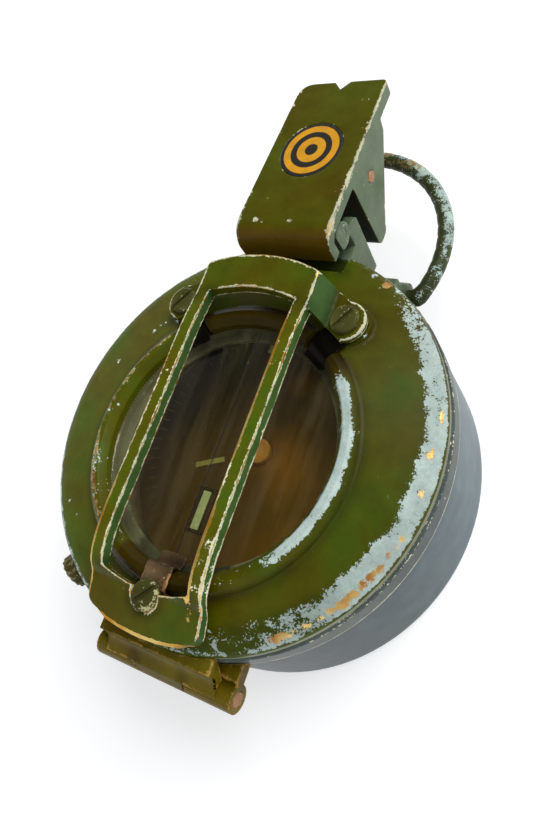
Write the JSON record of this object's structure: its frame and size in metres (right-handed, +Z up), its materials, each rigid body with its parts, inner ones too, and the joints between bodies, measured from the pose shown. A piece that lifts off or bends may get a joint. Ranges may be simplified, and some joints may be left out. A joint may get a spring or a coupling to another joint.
{
  "type": "magnetic compass",
  "caption": "Hand-held prismatic compass: round case with a hinged window lid under a bar guard, floating card, turning direction ring, swing-out prism and wire thumb bail.",
  "frame": {"origin": "centre of the flat underside of the case", "axes": "+Z up through the lid, +Y from the lid hinge towards the prism unit, +X to the right seen from the hinge"},
  "size_m": [0.0686, 0.1022, 0.035],
  "materials": {
    "olive_paint": "worn satin olive paint over brass",
    "grey_green_paint": "worn grey-green paint over brass",
    "bronze": "darkened bronze",
    "copper": "bare copper-coloured metal",
    "steel": "ground steel",
    "glass": "polished, slightly yellowed",
    "lume": "pale luminous strip",
    "black": "matt black",
    "gasket": "soft seal",
    "card": "printed off-white",
    "amber_disc": "printed amber and black disc"
  },
  "bodies": {
    "case": {"case_body": "grey_green_paint", "bowl": "black", "capsule_gasket": "gasket", "capsule_glass": "glass", "pivot_post": "steel", "bezel_ring": "grey_green_paint", "case_hinge_leaf": "grey_green_paint", "hinge_pin": "copper", "prism_bracket": "grey_green_paint", "prism_pin": "copper", "bail_lug_left": "grey_green_paint", "bail_lug_right": "grey_green_paint"},
    "lid": {"lid_shell": "olive_paint", "lid_glass": "glass", "lid_hinge_leaf": "olive_paint", "guard_bridge": "olive_paint", "glass_clip_left": "bronze", "glass_clip_right": "bronze", "glass_clip_front": "bronze", "lid_screw_left": "bronze", "lid_screw_right": "bronze", "lid_screw_front": "bronze", "lume_holder": "black", "lume_strip": "lume"},
    "prism_unit": {"prism_holder": "olive_paint", "leaf_disc": "amber_disc", "prism": "glass", "eye_lens": "glass", "prism_cover": "grey_green_paint", "prism_rivet_left": "copper", "prism_rivet_right": "copper"},
    "card": {"compass_card": "card", "jewel_cap": "copper", "magnet_left": "steel", "magnet_right": "steel", "card_mark": "lume"},
    "direction_ring": {"direction_ring": "black", "direction_glass": "glass", "direction_strip": "lume"},
    "bail": {"thumb_bail": "olive_paint"},
    "clamp_screw": {"clamp_screw": "olive_paint"}
  },
  "joints": [
    {"name": "lid_hinge", "type": "hinge", "parent": "case", "child": "lid", "pos_m": [0, -0.03685, 0.019], "axis": [1, 0, 0], "range_deg": [0, 150]},
    {"name": "prism_swing", "type": "hinge", "parent": "case", "child": "prism_unit", "pos_m": [0, 0.035, 0.0282], "axis": [1, 0, 0], "range_deg": [0, 95]},
    {"name": "bail_swing", "type": "hinge", "parent": "case", "child": "bail", "pos_m": [0, 0.03331, 0.013], "axis": [1, 0, 0], "range_deg": [-90, 10]},
    {"name": "card_spin", "type": "hinge", "parent": "case", "child": "card", "pos_m": [0, 0, 0.0153], "axis": [0, 0, 1], "continuous": true},
    {"name": "direction_turn", "type": "hinge", "parent": "case", "child": "direction_ring", "pos_m": [0, 0, 0.02375], "axis": [0, 0, 1], "continuous": true},
    {"name": "clamp_turn", "type": "hinge", "parent": "case", "child": "clamp_screw", "pos_m": [-0.02112, -0.02703, 0.02152], "axis": [-0.6157, -0.788, 0], "range_deg": [0, 180]}
  ]
}
